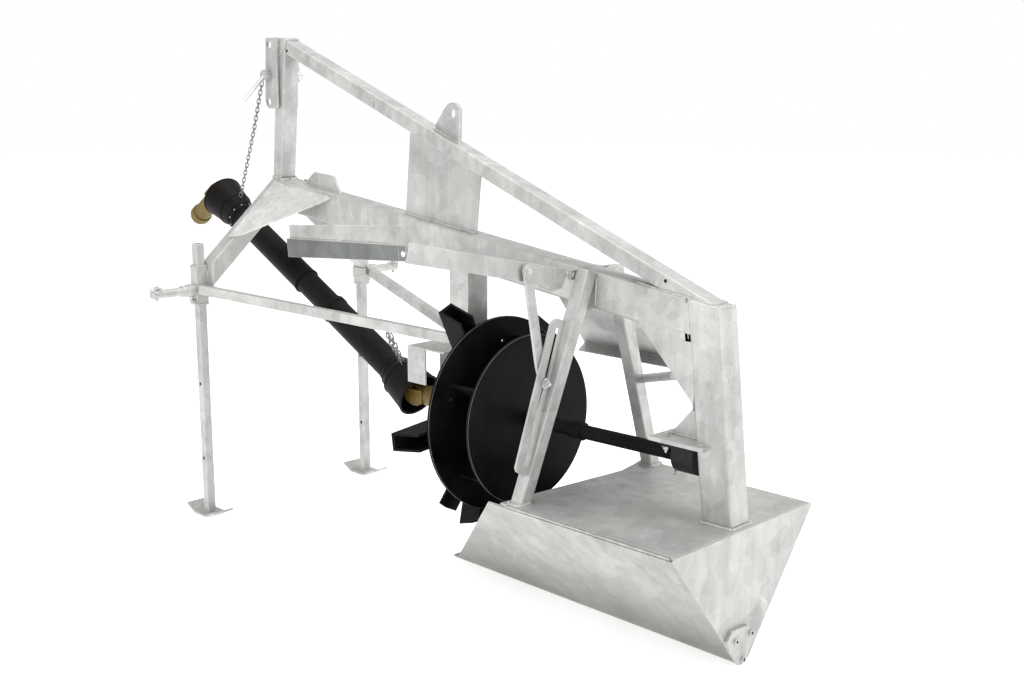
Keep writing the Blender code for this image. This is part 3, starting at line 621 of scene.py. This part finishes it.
# ---------------------------------------------------------------- bolts, pins and rings
A = (-252.4, 980.9)
bolt("strap_pivot_head", "strap", (1453.2, *A), (1, 0, 0), 9, 6, True, 4)
bolt("slot_bolt_head", "slot_bolt", (1463.6, -193.9, 677), (1, 0, 0), 10, 8, True, 6)
for y in (-27, 27):
    bolt("bearing_bolt_%d" % y, "root", (1740, y, 558), (0, 0, 1), 9, 7, True, 3)
    bolt("bearing_nut_%d" % y, "root", (1740, y, 530.6), (0, 0, -1), 9, 9, True, 8)
bm = bmesh.new()
prism_ring(bm, P(1757, -8, 463), Vector((0, -0.2, -1)), 0.004, 0, 0.012, 12)
made("grease_nipple", bm, PLATED, "root", True)
for k, (y, z) in enumerate(((-50, 73), (17, 76), (-16, 14))):
    bm = bmesh.new()
    prism_ring(bm, P(1998, y, z), Vector((1, 0, 0)), 0.0085, -0.004, 0.0002, 20)
    made("wear_bolt_%d" % k, bm, PLATED, "root", True)
    # the bolt's socket, a disc of painted shade
    dot("wear_socket_%d" % k, (1998.2, y, z), (1, 0, 0), 4.2)
for tag, s in (("near", -1), ("far", 1)):
    ring = [(5 + 27 * math.cos(t), s * (370 + 3 * math.sin(3 * t)), 770 + 27 * math.sin(t))
            for t in (math.tau * k / 20 for k in range(20))]
    wire("sleeve_ring_" + tag, "stand_pin_" + tag, ring, 2.0, PLATED, True)
    ring = [(18 * math.cos(t), s * 502 + 18 * math.sin(t), 806)
            for t in (math.tau * k / 18 for k in range(18))]
    wire("linch_ring_" + tag, "linch_" + tag, [(a, b, 806 - 0.7 * abs(a)) for a, b, c in ring],
         2.0, PLATED, True)
    for z in (740, 866):
        rim = [(-16, s * 343.5 - 21, z), (26, s * 343.5 - 21, z), (26, s * 343.5 + 21, z),
               (-16, s * 343.5 + 21, z)]
        bead("root", rim[0], rim[1], r=1.2)
        bead("root", rim[1], rim[2], r=1.2)
        bead("root", rim[2], rim[3], r=1.2)
        bead("root", rim[3], rim[0], r=1.2)
    plate("leg_lug_" + tag, "root",
          [(-14, s * 322.5, 800), (62, s * 322.5, 800), (62, s * 322.5, 772), (28, s * 322.5, 760),
           (-14, s * 322.5, 760)],
          (0, -s * 5, 0), ZINC, 1.0)
ring = [(-8 + 13 * math.cos(t), 90, 1516 + 15 * math.sin(t)) for t in (math.tau * k / 18 for k in range(18))]
wire("top_pin_ring", "top_pin", ring, 1.8, PLATED, True)
ring = [(-24 + 9 * math.cos(t), -47, 1480 + 9 * math.sin(t)) for t in (math.tau * k / 16 for k in range(16))]
wire("chain_ring_upper", "root", ring, 1.8, PLATED, True)
ring = [(707 + 9 * math.cos(t), -106, 704 + 9 * math.sin(t)) for t in (math.tau * k / 16 for k in range(16))]
wire("chain_ring_lower", "root", ring, 2.0, PLATED, True)

# ---------------------------------------------------------------- rotor and drive
def around(centre, radius, count=48, tilt_x=0.014):
    """A circle square to the rotor's axis, in machine millimetres."""
    x, y, z = centre
    return [(x - tilt_x * radius * math.sin(t), y + radius * math.cos(t), z + radius * math.sin(t))
            for t in (math.tau * k / count for k in range(count))]


# rim rings: partly worn bare steel, partly a painted highlight along the disc rims
RIM_WEAR_AND_HIGHLIGHT = paint("worn_rim_and_highlight", (0.10, 0.10, 0.10), (0.5, 0.5, 0.5), 0.4, 0.8, 0.001, 0.1, 0.3)
wire("rim_front", "rotor", around((1102.8, 0, 497.3), 290.4, 72), 0.9, RIM_WEAR_AND_HIGHLIGHT, True, 6)
wire("rim_rear", "rotor", around((1220.2, 0, 499.0), 249.4, 72), 0.9, RIM_WEAR_AND_HIGHLIGHT, True, 6)


def shaft_ring(s, r, count=40):
    c = J1 + PF * s
    return [tuple(c + PW * (r * math.sin(t)) + Vector((0, r * math.cos(t), 0)))
            for t in (math.tau * k / count for k in range(count))]


for body, s, r, w in (("drive_guard_lower", -10, 76, 2.2), ("drive_guard_lower", 88, 66.5, 2.0),
                      ("drive_guard_lower", 118, 55.5, 1.6), ("drive_guard_lower", 140, 47.5, 2.0),
                      ("drive_guard_upper", 1233, 75.6, 2.4), ("drive_guard_upper", 1140, 63.5, 1.8),
                      ("drive_guard_upper", 1100, 54.5, 2.2), ("drive_guard_upper", 1082, 48, 2.0),
                      ("drive_guard_upper", 1074, 45.5, 2.2),
                      ("drive_guard_upper", 656, 45.6, 2.0)):
    wire("guard_ring_%d" % s, body, shaft_ring(s, r), w, PLASTIC, True, 8)
for k in range(10):
    t = math.tau * k / 10
    c = J1 + PF * 1092 + PW * (51 * math.sin(t)) + Vector((0, 51 * math.cos(t), 0))
    bm = bmesh.new()
    prism_ring(bm, P(*c), PW * math.sin(t) + Vector((0, math.cos(t), 0)), 0.003, 0, 0.0025, 8)
    made("guard_stud_%d" % k, bm, PLATED, "drive_guard_upper", True)

for body, bm in WELDS.items():
    made("welds_" + body, bm, WELD, body, True, "galvanized")
